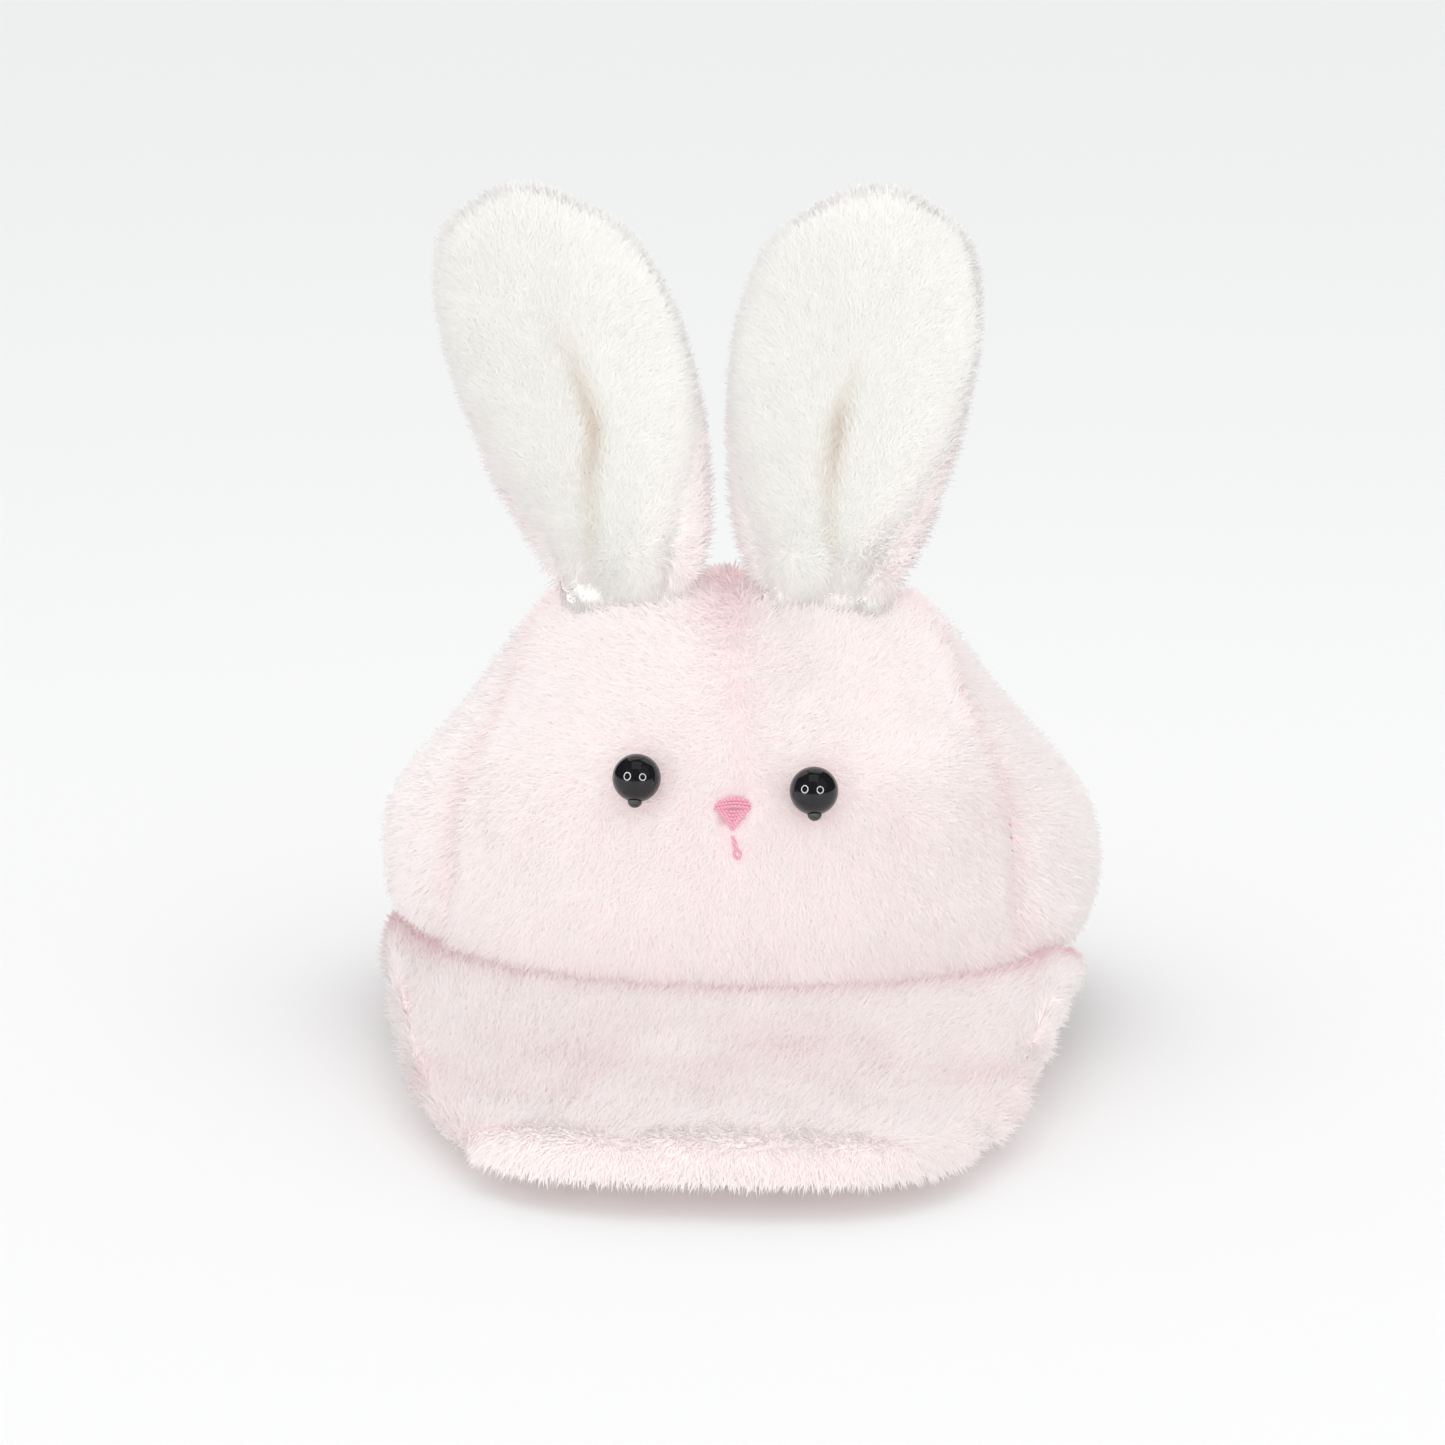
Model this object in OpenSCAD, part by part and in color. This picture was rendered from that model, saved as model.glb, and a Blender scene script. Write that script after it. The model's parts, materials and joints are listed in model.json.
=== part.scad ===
// Plush bunny cap: a soft crown with a face, a padded visor and two stuffed ears.
// Millimetres, +Z up, the face looks along -Y, left is -X as seen from the front.
// The cap lies on the front edge of its visor and on the back of its rim, both at z = 0.

/* [Crown] */
// Width of the crown at its fullest
crown_w = 126; // [100:1:152]
// How far the back of the crown lies behind the origin
crown_back = 80; // [65:1:95]
// Height of the seam that the ears are sewn into
crown_h = 81; // [64:1:98]
// Thickness of the plush, backing and pressed pile
plush_t = 2.6; // [2:0.1:3.2]
// Thickness of the foam sheet that holds the face up
stiffener_t = 2; // [1.4:0.1:2.6]
// Thickness of the cotton lining
lining_t = 0.9; // [0.6:0.1:1.2]

/* [Rim] */
// Height of the rim above the table at the middle of the visor seam
rim_front_z = 19; // [14:0.5:24]
// Height of the rim above the table at the sides
rim_side_z = 18; // [14:0.5:20]
// Height of the facing that runs round inside the rim
band_h = 12; // [9:0.5:15]
// Thickness of that facing
band_t = 1; // [0.7:0.1:1.4]
// Height of the elastic inside the facing
elastic_h = 7; // [5:0.5:8.5]

/* [Visor] */
// How far the visor reaches in front of the origin
visor_front = 80; // [68:1:90]
// Overall thickness of the visor
visor_t = 8.6; // [7.4:0.2:10]
// Thickness of the foam sheet inside the visor
insert_t = 3; // [2:0.2:3.6]
// Height of the middle of the visor's front edge above its ends
visor_arch = 1.6; // [0:0.2:4]

/* [Ears] */
// Length of each ear from its seam to its tip
ear_l = 67; // [54:1:82]
// Width of each ear at its widest
ear_w = 42; // [34:1:43]
// Thickness of each stuffed ear
ear_t = 14; // [11:0.5:17]
// Place of the left ear's middle along its seam
ear_x_left = -18; // [-19:0.5:-17]
// Place of the right ear's middle along its seam
ear_x_right = 15; // [15:0.5:17]
// Outward tilt of the left ear
ear_tilt_left = 15; // [10:1:18]
// Outward tilt of the right ear
ear_tilt_right = 7; // [7:1:14]
// Backward lean of both ears
ear_lean = 5; // [0:1:12]

/* [Face] */
// Diameter of each eye bead
eye_d = 8; // [6:0.5:9]
// Diameter of the hole through each bead
eye_bore = 1.3; // [1.1:0.1:1.6]
// Direction of the left eye round the crown, in degrees from the front
eye_turn_left = -12.5; // [-20:0.5:-11]
// Direction of the right eye round the crown
eye_turn_right = 12; // [10:0.5:20]
// Level of the left eye, as a share of the way up the face
eye_level_left = 0.455; // [0.42:0.005:0.55]
// Level of the right eye, sewn on a little lower
eye_level_right = 0.435; // [0.42:0.005:0.55]
// Level of the middle of the nose
nose_level = 0.398; // [0.36:0.002:0.45]
// How far the nose and mouth lie to the right of the middle
nose_x = 1.1; // [-2:0.1:2]
// Width of the embroidered nose
nose_w = 6.4; // [5:0.2:9]
// Thickness of one strand of embroidery thread
strand_d = 0.55; // [0.45:0.05:0.8]

/* [Hidden] */

ply_gap = 0.3;                     // between layers that lie on each other
seam_y = -29;                      // middle of the visor seam
ridge_y = 2;                       // seam that the ears are sewn into
widest_y = 22;                     // where the rim is widest
pink = "#f3dfe0";
white = "#f4f3ef";

lining_in = plush_t + stiffener_t + 2 * ply_gap;        // outside of the front lining
side_lining_in = plush_t + ply_gap;                     // outside of the side linings
elastic_in = side_lining_in + lining_t + ply_gap;       // outside of the elastic
band_in = max(lining_in + lining_t, elastic_in + 1.2) + ply_gap;   // outside of the facing
elastic_t = band_in - elastic_in - ply_gap;

// Nine levels of the crown from the rim to the ear seam. Each holds the half width as a share
// of the fullest, how far the front and the back have moved from the rim's to the ear seam's
// place, and the heights of the front, the side and the back as shares of the rise.
LEVELS = [
    [0.965, 0.00, 0.030, 0.00, 0.000, 0.00],
    [0.995, -0.03, 0.000, 0.14, 0.125, 0.15],
    [0.990, 0.02, 0.020, 0.30, 0.270, 0.33],
    [0.945, 0.12, 0.110, 0.45, 0.390, 0.50],
    [0.840, 0.26, 0.270, 0.60, 0.520, 0.66],
    [0.720, 0.42, 0.460, 0.74, 0.660, 0.80],
    [0.625, 0.61, 0.680, 0.87, 0.820, 0.92],
    [0.535, 0.82, 0.870, 0.965, 0.950, 0.98],
    [0.450, 1.00, 1.000, 1.00, 1.000, 1.00]];
TOP = len(LEVELS) - 1;

function mix(a, b, f) = a + (b - a) * f;
function smooth(f) = let (k = min(1, max(0, f))) k * k * (3 - 2 * k);
function unit(v) = v / norm(v);

// A smooth curve through equally spaced values, at place k counted in steps.
function through(values, k) =
    let (last = len(values) - 1,
        i = min(last - 1, max(0, floor(k))),
        f = k - i,
        b = values[i],
        c = values[i + 1],
        a = i > 0 ? values[i - 1] : 2 * b - c,
        d = i + 2 <= last ? values[i + 2] : 2 * c - b)
    b + f / 2 * (c - a + f * (2 * a - 5 * b + 4 * c - d + f * (3 * (b - c) + d - a)));

function column(table, n) = [for (row = table) row[n]];
WIDTHS = column(LEVELS, 0);
FRONTS = column(LEVELS, 1);
BACKS = column(LEVELS, 2);
FRONT_RISE = column(LEVELS, 3);
SIDE_RISE = column(LEVELS, 4);
BACK_RISE = column(LEVELS, 5);

// A point of the crown, depth millimetres under its surface. turn is 0 at the front and 90
// on the right, and level is 0 at the rim and 1 at the ear seam.
function crown(turn, level, depth = 0) =
    let (k = level * TOP,
        slope = 90 * pow(min(1, max(0, level)), 1.3),
        inward = depth * cos(slope),
        half = through(WIDTHS, k) * crown_w / 2 - inward,
        front = mix(seam_y, ridge_y, through(FRONTS, k)) + inward,
        back = mix(crown_back, ridge_y, through(BACKS, k)) - inward,
        middle = mix(widest_y, ridge_y, level),
        s = sin(turn),
        c = cos(turn),
        z_front = mix(rim_front_z, crown_h, through(FRONT_RISE, k)),
        z_side = mix(rim_side_z, crown_h, through(SIDE_RISE, k)),
        z_back = mix(0, crown_h, through(BACK_RISE, k)),
        z = z_side + (c > 0 ? z_front - z_side : z_back - z_side) * c * c)
    [half * sign(s) * pow(abs(s), 0.9),
        c > 0 ? mix(middle, front, pow(c, 1.1)) : mix(middle, back, pow(-c, 0.95)),
        z - depth * sin(slope)];

// Where the seam between the front panel and a side panel runs.
SEAM_TURNS = [55, 50, 49, 52, 57, 62, 69, 78, 90];
function seam_turn(level) = through(SEAM_TURNS, level * TOP);

function up_at(turn, level) = unit(crown(turn, level + 0.02) - crown(turn, level - 0.02));
function out_at(turn, level) =
    unit(cross(crown(turn + 1, level) - crown(turn - 1, level), up_at(turn, level)));

// A closed sheet between two grids of points with as many rows and columns each.
module sheet(outer, inner) {
    rows = len(outer);
    cols = len(outer[0]);
    far = rows * cols;
    function at(i, j) = i * cols + j;
    faces = concat(
        [for (i = [0 : rows - 2], j = [0 : cols - 2])
            each [[at(i, j), at(i + 1, j), at(i + 1, j + 1)],
                [at(i, j), at(i + 1, j + 1), at(i, j + 1)],
                [far + at(i, j), far + at(i + 1, j + 1), far + at(i + 1, j)],
                [far + at(i, j), far + at(i, j + 1), far + at(i + 1, j + 1)]]],
        [for (i = [0 : rows - 2])
            each [[at(i, 0), far + at(i, 0), far + at(i + 1, 0)],
                [at(i, 0), far + at(i + 1, 0), at(i + 1, 0)],
                [at(i, cols - 1), far + at(i + 1, cols - 1), far + at(i, cols - 1)],
                [at(i, cols - 1), at(i + 1, cols - 1), far + at(i + 1, cols - 1)]]],
        [for (j = [0 : cols - 2])
            each [[at(0, j), far + at(0, j + 1), far + at(0, j)],
                [at(0, j), at(0, j + 1), far + at(0, j + 1)],
                [at(rows - 1, j), far + at(rows - 1, j), far + at(rows - 1, j + 1)],
                [at(rows - 1, j), far + at(rows - 1, j + 1), at(rows - 1, j + 1)]]]);
    polyhedron(concat([for (row = outer) each row], [for (row = inner) each row]), faces);
}

// A closed body through a row of rings with as many points each, with a flat end on each.
module loft(rings) {
    last = len(rings) - 1;
    n = len(rings[0]);
    polyhedron([for (ring = rings) each ring],
        concat([[for (j = [0 : n - 1]) j]],
            [for (i = [0 : last - 1], j = [0 : n - 1])
                let (a = i * n + j, b = i * n + (j + 1) % n)
                each [[a, b + n, b], [a, a + n, b + n]]],
            [[for (j = [n - 1 : -1 : 0]) last * n + j]]));
}

// A thread of constant thickness along a path. ref is any direction across the path.
module thread(path, d, ref, sides = 8) {
    last = len(path) - 1;
    loft([for (i = [0 : last])
        let (t = unit(path[min(last, i + 1)] - path[max(0, i - 1)]),
            a = unit(cross(ref, t)),
            b = cross(t, a))
        [for (j = [0 : sides - 1])
            path[i] + d / 2 * (a * cos(360 * j / sides) + b * sin(360 * j / sides))]]);
}

// A piece of the crown between two directions, from one level to another.
module crown_patch(from, to, low, high, top, bottom, rows, cols) {
    function grid(depth) =
        [for (i = [0 : rows])
            let (level = mix(low, high, i / rows))
            [for (j = [0 : cols])
                crown(mix(from(level), to(level), j / cols), level, depth)]];
    sheet(grid(top), grid(bottom));
}

low_level = 0;
high_level = 0.993;
turn_gap = 0.25;                   // half the gap beside a seam, in degrees
SIDE_ROWS = 14;

module front_panel(top, bottom, rows, cols) {
    crown_patch(function (level) -seam_turn(level) + turn_gap,
        function (level) seam_turn(level) - turn_gap,
        low_level, high_level, top, bottom, rows, cols);
}

module side_panel(side, top, bottom, rows, cols) {
    crown_patch(
        side > 0 ? function (level) seam_turn(level) + turn_gap
            : function (level) turn_gap - 180,
        side > 0 ? function (level) 180 - turn_gap
            : function (level) -seam_turn(level) - turn_gap,
        low_level, high_level, top, bottom, rows, cols);
}

module crown_front() {
    color(pink) front_panel(0, plush_t, SIDE_ROWS, 18);
}

module crown_side(side) {
    color(pink) side_panel(side, 0, plush_t, SIDE_ROWS, 18);
}

module front_stiffener() {
    top = plush_t + ply_gap;
    color("#e9e6df") crown_patch(
        function (level) -seam_turn(level) + 4, function (level) seam_turn(level) - 4,
        0.03, 0.9, top, top + stiffener_t, 10, 12);
}

module lining_front() {
    color("#efe3e0") front_panel(lining_in, lining_in + lining_t, 10, 12);
}

module lining_side(side) {
    color("#efe3e0")
        side_panel(side, side_lining_in, side_lining_in + lining_t, 10, 12);
}

// The way from the rim to the ear seam in one direction, measured along the cloth.
function crown_length(turn, n = 20) =
    [for (i = [0 : n - 1]) norm(crown(turn, (i + 1) / n) - crown(turn, i / n))]
        * [for (i = [0 : n - 1]) 1];
band_high = band_h / crown_length(90);
elastic_high = elastic_h / crown_length(90);

module rim_band() {
    color("#f6f2ee") crown_patch(function (level) -179.6, function (level) 179.6,
        0.004, band_high, band_in, band_in + band_t, 2, 56);
}

module rim_elastic() {
    color("#fafafa") crown_patch(function (level) 62, function (level) 298,
        0.02, 0.02 + elastic_high, elastic_in, elastic_in + elastic_t, 2, 40);
}

// The visor. across runs from -1 at its left end to 1 at its right end, and out from 0 at the
// seam to 1 at the free edge. It is sewn on a little to the left.
visor_turn_left = 85;              // where its left end meets the rim
visor_turn_right = 70;             // and its right end
visor_flare = 0.3;                 // how far its ends spread in front of the seam
visor_taper = 0.735;               // width of the free edge as a share of the width at the seam
visor_drop = visor_t / 2 - 1.2;    // middle of the visor below the rim
visor_clear = 1.1;                 // room between it and the crown as it flexes
visor_clear_left = 2.1;            // the same at its left end, which swings up beside the crown
visor_clear_right = 1.5;           // and at its right end
end_round = 0.13;                  // share of the length that the edge is rounded over
INSERT_OUT = 0.86;                 // how far out the foam sheet reaches
INSERT_ACROSS = 0.9;               // and how far towards the ends
function visor_turn(across) = abs(across) * (across > 0 ? visor_turn_right : visor_turn_left);
function visor_room(across) = mix(visor_clear,
    across > 0 ? visor_clear_right : visor_clear_left, pow(abs(across), 3));
function visor_edge(across) =
    let (a = across * 90,
        s = abs(sin(a)),
        c = cos(a),
        end = crown(visor_turn(sign(across)), 0),
        stand = visor_room(sign(across)) + visor_flare,
        out = pow(c, 0.56))
    [mix(end[0] + stand, visor_taper * crown_w / 2 * 0.96, out) * sign(across) * pow(s, 0.5),
        mix(end[1] - 3, -visor_front, out),
        mix(visor_t / 2 + visor_arch * pow(c, 3), end[2] - visor_drop, pow(s, 14))];
function visor_seam(across) =
    let (p = crown(sign(across) * visor_turn(across), 0),
        r = unit([p[0], p[1] - widest_y, 0]))
    p + r * visor_room(across) - [0, 0, visor_drop];
function visor_middle(across, out) =
    let (a = visor_seam(across), b = visor_edge(across), flat = mix(a, b, out))
    [flat[0], flat[1], mix(a[2], b[2], pow(sin(90 * out), 0.9))];
function end_taper(across) = mix(1, 0.3, smooth((abs(across) - INSERT_ACROSS) / 0.1));
function visor_half(across, out) =
    let (edge = max(0, (out - 1 + end_round) / end_round))
    end_taper(across) * max(0.8, visor_t / 2 * sqrt(max(0, 1 - edge * edge)));
function insert_half(across, out) =
    let (past = max((out - INSERT_OUT + 0.02) / 0.08, (abs(across) - INSERT_ACROSS) / 0.06))
    mix(insert_t / 2 + ply_gap, ply_gap / 2, smooth(past));
VISOR_OUTS = [0, 0.14, 0.28, 0.42, 0.56, 0.7, 0.8, 0.87, 0.93, 0.97, 1];
VISOR_COLS = 36;

module visor_layer(from, to) {
    function grid(height) =
        [for (out = VISOR_OUTS)
            [for (j = [0 : VISOR_COLS])
                let (across = 1 - 2 * j / VISOR_COLS)
                visor_middle(across, out) + [0, 0, height(across, out)]]];
    sheet(grid(to), grid(from));
}

module visor_top() {
    color(pink) visor_layer(function (across, out) insert_half(across, out),
        function (across, out) visor_half(across, out));
}

module visor_bottom() {
    color(pink) visor_layer(function (across, out) -visor_half(across, out),
        function (across, out) -insert_half(across, out));
}

module visor_insert() {
    inner = 0.04;
    reach = INSERT_ACROSS - 0.03;
    function grid(height) =
        [for (i = [0 : 6])
            [for (j = [0 : 24])
                visor_middle(reach * (1 - j / 12), mix(inner, INSERT_OUT - 0.03, i / 6))
                    + [0, 0, height]]];
    color("#f2f2f0") sheet(grid(insert_t / 2), grid(-insert_t / 2));
}

// An ear stands on its seam. rise is 0 there and 1 at the tip, and round is the direction
// from its middle: 0 to the right, 90 to the back and 270 to the front.
EAR_WIDTHS = [0.50, 0.74, 0.85, 0.91, 0.97, 1.00, 1.00, 0.97, 0.89, 0.72, 0.12];
EAR_DEPTHS = [0.60, 0.76, 0.92, 1.00, 1.00, 0.97, 0.93, 0.86, 0.76, 0.60, 0.12];
ear_foot = 2.2;                    // radius of the foot that the ear turns on
ear_floor = 2.6;                   // how far above the seam the filling starts, at most
function foot_half(z) = z < ear_foot ? sqrt(ear_foot * ear_foot - pow(ear_foot - z, 2))
    : ear_foot + 0.75 * (z - ear_foot);
function ear_point(tilt, rise, round, depth) =
    let (half = through(EAR_WIDTHS, rise * 10) * ear_w / 2,
        thick = min(through(EAR_DEPTHS, rise * 10) * ear_t / 2, foot_half(rise * ear_l)),
        z = mix(min(depth, ear_floor), ear_l - depth, rise))
    [max(0.5, half - depth) * cos(round) + z * tan(tilt),
        max(0.35, thick - min(depth, thick * 0.6)) * sin(round),
        z];

// The white front narrows towards the seam, where the pink back wraps round it, more so on
// the right.
ear_cloth_t = min(plush_t, ear_t / 4);
front_turn_left = 50;              // half the angle that the front spans at the seam
front_turn_right = 32;
function front_turn(rise, base) = mix(base, 86, smooth(rise / 0.58));
EAR_RISES = [0, 0.012, 0.033, 0.08, 0.16, 0.28, 0.4, 0.52, 0.64, 0.75, 0.84, 0.91, 0.96, 1];

module ear_cloth(tilt, from, to) {
    function grid(depth) =
        [for (rise = EAR_RISES)
            [for (j = [0 : 12])
                ear_point(tilt, rise, mix(from(rise), to(rise), j / 12), depth)]];
    sheet(grid(0), grid(ear_cloth_t));
}

module ear_front(tilt) {
    color(white) ear_cloth(tilt,
        function (rise) 270 - front_turn(rise, front_turn_left) + 0.6,
        function (rise) 270 + front_turn(rise, front_turn_right) - 0.6);
}

module ear_back(tilt) {
    color(pink) ear_cloth(tilt,
        function (rise) front_turn(rise, front_turn_right) - 90 + 0.6,
        function (rise) 270 - front_turn(rise, front_turn_left) - 0.6);
}

module ear_filling(tilt) {
    color("#fbfbfb") loft([for (rise = EAR_RISES)
        [for (j = [0 : 15]) ear_point(tilt, rise, 360 * j / 16, ear_cloth_t + ply_gap)]]);
}

module on_ridge(x) {
    translate([x, ridge_y, crown_h + 0.5 + ear_foot]) rotate([-ear_lean, 0, 0])
        translate([0, 0, -ear_foot]) children();
}

// A bead lies on the face with its hole upright. Its thread goes through the hole and ends in
// a knot under the bead.
thread_knot = 2.4;
module at_eye(turn, level) {
    up = up_at(turn, level);
    translate(crown(turn, level) + out_at(turn, level) * (eye_d / 2 + ply_gap))
        rotate([-atan2(up[1], up[2]), 0, turn * 0.5]) children();
}

module eye() {
    color("#0c0c0e") difference() {
        sphere(d = eye_d, $fn = 48);
        cylinder(d = eye_bore, h = 2 * eye_d, center = true, $fn = 24);
    }
}

module eye_thread() {
    r = eye_d / 2;
    color("#141414") {
        translate([0, 0, -r - thread_knot / 4])
            cylinder(d = eye_bore - 0.4, h = 2 * r + thread_knot / 4 - 0.3, $fn = 16);
        difference() {
            translate([0, 0, 0.1 * thread_knot - r]) sphere(d = thread_knot, $fn = 24);
            sphere(r = r + 0.1, $fn = 48);
        }
    }
}

module left_eye() {
    at_eye(eye_turn_left, eye_level_left) children();
}

module right_eye() {
    at_eye(eye_turn_right, eye_level_right) children();
}

// A place on the face, x across and y up from the middle of the nose, lifted off the plush.
function on_face(x, y, lift) =
    let (level = nose_level + y / crown_length(0),
        side = x + nose_x,
        half = through(WIDTHS, level * TOP) * crown_w / 2,
        turn = sign(side) * asin(pow(abs(side) / half, 1 / 0.9)))
    crown(turn, level) + out_at(turn, level) * lift;

// One straight or bowed strand between two places on the face.
module strand(from, to, bow = 0, lift = 0, steps = 5) {
    d = to - from;
    across = [-d[1], d[0]] / norm(d);
    thread([for (i = [0 : steps])
        let (f = i / steps, p = from + d * f + across * bow * sin(180 * f))
        on_face(p[0], p[1], strand_d / 2 + ply_gap + lift)], strand_d, [0, -1, 0.2]);
}

// Slanting strands that meet in the middle of the nose, one pair under the other, and long
// strands laid across their tops.
nose_step = 0.9 * strand_d;
module nose_stitches() {
    half = nose_w / 2 - strand_d / 2;
    color("#f590ad") {
        for (k = [0 : 5], side = [-1, 1])
            strand([side * half * (1 - 0.15 * k), 0.75 - 0.8 * nose_step * k],
                [-side * 0.15, 0.1 - 1.1 * nose_step * k], side * 0.2);
        for (k = [0 : 2])
            strand([-half - 0.2 + 0.14 * k * k, 0.4 + nose_step * k],
                [half + 0.1 - 0.12 * k * k, 0.65 + nose_step * k],
                0.35, strand_d / 2, 7);
    }
}

// A chain of three stitches, each of two strands that meet at its ends. The numbers are the
// place of each end and how far the strands bow apart.
MOUTH = [[0, -3.5, 0.05], [0.15, -4.1, 0.22], [0.65, -5.5, 0.5], [1.05, -7.1, 0]];
module mouth_stitches() {
    color("#f07c9c")
        for (i = [0 : len(MOUTH) - 2], side = [-1, 1])
            let (a = MOUTH[i], b = MOUTH[i + 1])
            strand([a[0], a[1]], [b[0], b[1]], side * a[2]);
}

crown_front();
crown_side(-1);  // crown_side_left
crown_side(1);  // crown_side_right
front_stiffener();
lining_front();
lining_side(-1);  // lining_side_left
lining_side(1);  // lining_side_right
rim_band();
rim_elastic();
visor_top();
visor_bottom();
visor_insert();
on_ridge(ear_x_left) ear_front(-ear_tilt_left);  // ear_front_left
on_ridge(ear_x_left) ear_back(-ear_tilt_left);  // ear_back_left
on_ridge(ear_x_left) ear_filling(-ear_tilt_left);  // ear_filling_left
on_ridge(ear_x_right) ear_front(ear_tilt_right);  // ear_front_right
on_ridge(ear_x_right) ear_back(ear_tilt_right);  // ear_back_right
on_ridge(ear_x_right) ear_filling(ear_tilt_right);  // ear_filling_right
left_eye() eye();  // eye_left
right_eye() eye();  // eye_right
left_eye() eye_thread();  // eye_thread_left
right_eye() eye_thread();  // eye_thread_right
nose_stitches();
mouth_stitches();
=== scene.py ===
import json
import math

import bpy
import numpy as np
from bpy.props import FloatProperty, FloatVectorProperty, IntProperty, PointerProperty
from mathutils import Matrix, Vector, kdtree, noise

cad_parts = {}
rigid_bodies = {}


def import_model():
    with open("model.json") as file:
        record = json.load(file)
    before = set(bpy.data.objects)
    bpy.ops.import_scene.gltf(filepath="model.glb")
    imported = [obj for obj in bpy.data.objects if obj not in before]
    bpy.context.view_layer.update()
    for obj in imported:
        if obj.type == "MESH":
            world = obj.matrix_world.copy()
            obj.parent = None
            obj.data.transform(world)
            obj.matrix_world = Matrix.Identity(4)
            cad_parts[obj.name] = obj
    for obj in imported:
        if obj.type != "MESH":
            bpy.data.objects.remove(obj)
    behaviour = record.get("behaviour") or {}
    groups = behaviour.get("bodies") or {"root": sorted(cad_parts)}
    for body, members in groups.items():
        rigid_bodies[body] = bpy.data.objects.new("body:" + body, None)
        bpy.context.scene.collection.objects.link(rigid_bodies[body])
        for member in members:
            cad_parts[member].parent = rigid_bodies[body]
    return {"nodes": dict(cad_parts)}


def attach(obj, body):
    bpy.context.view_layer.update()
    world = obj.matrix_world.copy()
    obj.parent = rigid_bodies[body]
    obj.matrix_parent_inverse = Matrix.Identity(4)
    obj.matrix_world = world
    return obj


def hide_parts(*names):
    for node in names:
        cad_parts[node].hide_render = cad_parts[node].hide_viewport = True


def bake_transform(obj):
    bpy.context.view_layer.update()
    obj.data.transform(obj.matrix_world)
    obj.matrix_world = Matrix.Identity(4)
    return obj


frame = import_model()

bl_info = {
    "name": "Plush bunny cap",
    "version": (1, 0, 0),
    "blender": (4, 5, 0),
    "location": "View3D > Sidebar > Cap",
    "description": "Makes the pile fabric, stuffing, beads and stitching of a small plush cap",
    "category": "Object",
}

MM = 0.001

# How much of a tuft's shading comes from the cloth under it
SOFTNESS = 0.5

# Ears, in millimetres: the middle of each seam, the slope of each ear outwards, and the
# routes of the pleats down their fronts, seen from the front
EAR_SEAM = {"left": (-18.0, 2.0, 81.5), "right": (15.0, 2.0, 81.5)}
EAR_SLANT = {"left": -math.tan(math.radians(15)), "right": math.tan(math.radians(7))}
EAR_LENGTH = 67.0
EAR_HALF_WIDTH = 21.0
EAR_HALF_THICKNESS = 7.0
EAR_LEAN = 5.8
EAR_PLEATS = {
    "left": [(-24.0, 80), (-24.3, 96), (-23.6, 108), (-27.0, 119), (-33.5, 129)],
    "right": [(16.6, 80), (15.8, 97), (17.1, 108), (18.6, 113), (21.0, 121)],
}

# Route of the dart in the forehead, from its top to its point, seen from the front
DART = [(-1.8, 90), (-1.5, 80), (-0.4, 73), (2.8, 67)]

# The crown's middle and the rim's ellipse, from which the visor's seam is measured
CROWN_MIDDLE = (0.0, 24.0, 25.0)
RIM_MIDDLE_Y = 22.0
RIM_HALF_WIDTH = 61.0
RIM_STRETCH = 1.19


# Settings


class PlushSettings(bpy.types.PropertyGroup):
    """Sizes and colours of the pile fabric."""

    pile_length: FloatProperty(
        name="Pile length",
        description="Length of one tuft of the pile",
        default=3.1 * MM,
        min=1 * MM,
        max=8 * MM,
        unit="LENGTH",
    )
    tuft_width: FloatProperty(
        name="Tuft width",
        description="Width of one tuft at its root",
        default=0.42 * MM,
        min=0.2 * MM,
        max=2 * MM,
        unit="LENGTH",
    )
    tufts_per_mm2: FloatProperty(
        name="Tufts",
        description="Tufts on each square millimetre of the face",
        default=9.0,
        min=1,
        max=20,
    )
    seed: IntProperty(name="Seed", description="Seed of the tufts' places", default=4)
    # The pile is painted deeper at its roots than at its tips: partly its own tone, partly painted
    # shade down in the pile
    pink_tip: FloatVectorProperty(
        name="Pink, tips",
        description="Colour of the pink pile at its tips",
        subtype="COLOR",
        size=3,
        min=0,
        max=1,
        default=(0.96, 0.905, 0.90),
    )
    pink_root: FloatVectorProperty(
        name="Pink, roots",
        description="Colour of the pink pile at its roots",
        subtype="COLOR",
        size=3,
        min=0,
        max=1,
        default=(0.93, 0.79, 0.79),
    )
    white_tip: FloatVectorProperty(
        name="White, tips",
        description="Colour of the white pile at its tips",
        subtype="COLOR",
        size=3,
        min=0,
        max=1,
        default=(0.975, 0.975, 0.95),
    )
    white_root: FloatVectorProperty(
        name="White, roots",
        description="Colour of the white pile at its roots",
        subtype="COLOR",
        size=3,
        min=0,
        max=1,
        default=(0.93, 0.91, 0.87),
    )
    # The glows are painted light: the pile emits its own colour, standing in for light passed on
    # from fibre to fibre
    pink_glow: FloatProperty(
        name="Pink, glow",
        description="Light that the pink pile passes on from fibre to fibre",
        default=0.27,
        min=0,
        max=1,
    )
    white_glow: FloatProperty(
        name="White, glow",
        description="Light that the white pile passes on from fibre to fibre",
        default=0.23,
        min=0,
        max=1,
    )


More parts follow.
